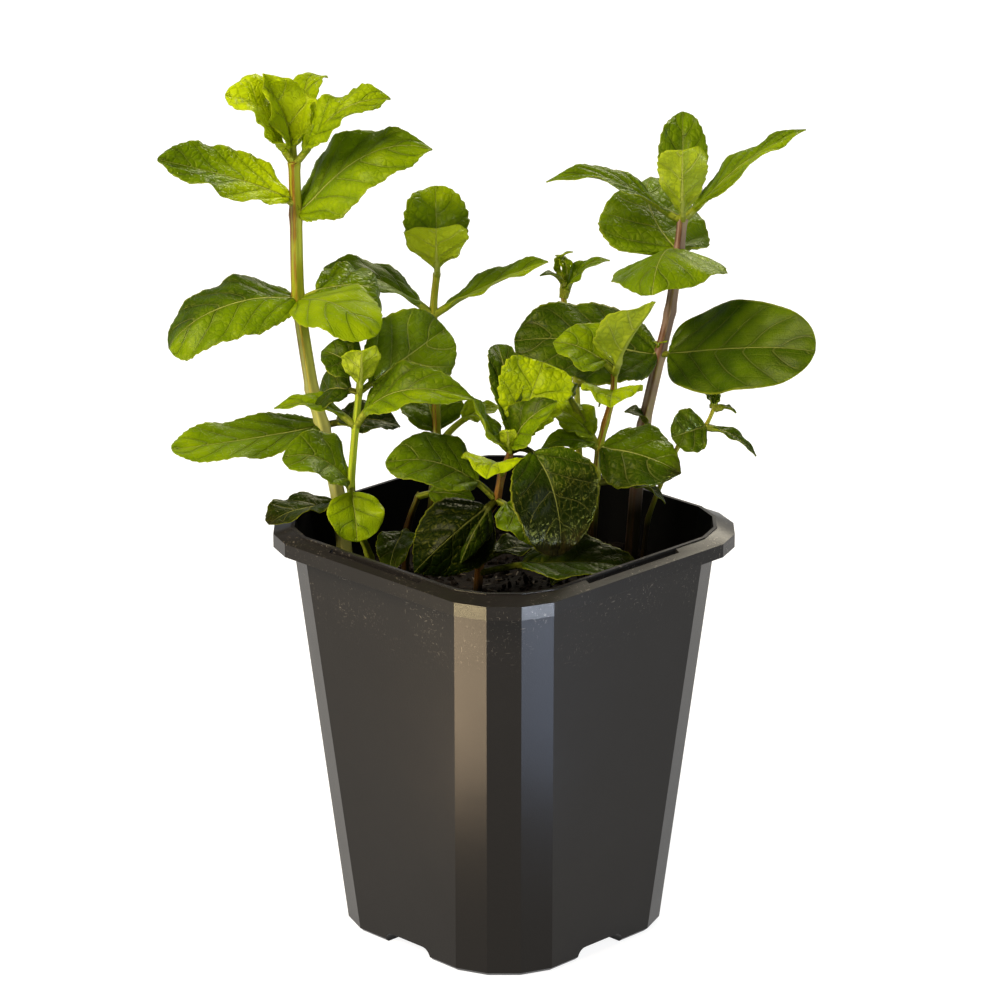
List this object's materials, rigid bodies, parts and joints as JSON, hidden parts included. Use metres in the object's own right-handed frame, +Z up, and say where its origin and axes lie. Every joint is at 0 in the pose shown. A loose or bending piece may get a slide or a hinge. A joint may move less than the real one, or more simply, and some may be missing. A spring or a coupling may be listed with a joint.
{
  "type": "potted mint plant",
  "caption": "Young mint plant with square leafy stems growing from soil in a tapered square plastic nursery pot.",
  "frame": {"origin": "on the pot's centre line, in the plane its feet stand on", "axes": "+Z up; +X and -Y square to the two sides of the pot between which the plant's front looks out"},
  "size_m": [0.1332, 0.1313, 0.2346],
  "materials": {
    "black_plastic": "satin",
    "potting_soil": "matte",
    "mint_leaf": "satin",
    "mint_stem": "satin"
  },
  "bodies": {
    "root": {"pot": "black_plastic", "soil": "potting_soil", "shoot_left_tall": "mint_leaf", "shoot_left_front": "mint_leaf", "shoot_low_inner": "mint_leaf", "shoot_middle_back": "mint_leaf", "shoot_small_back": "mint_leaf", "shoot_middle_right": "mint_leaf", "shoot_right_tall": "mint_leaf", "shoot_centre": "mint_leaf", "shoot_low_right": "mint_leaf"}
  },
  "joints": []
}
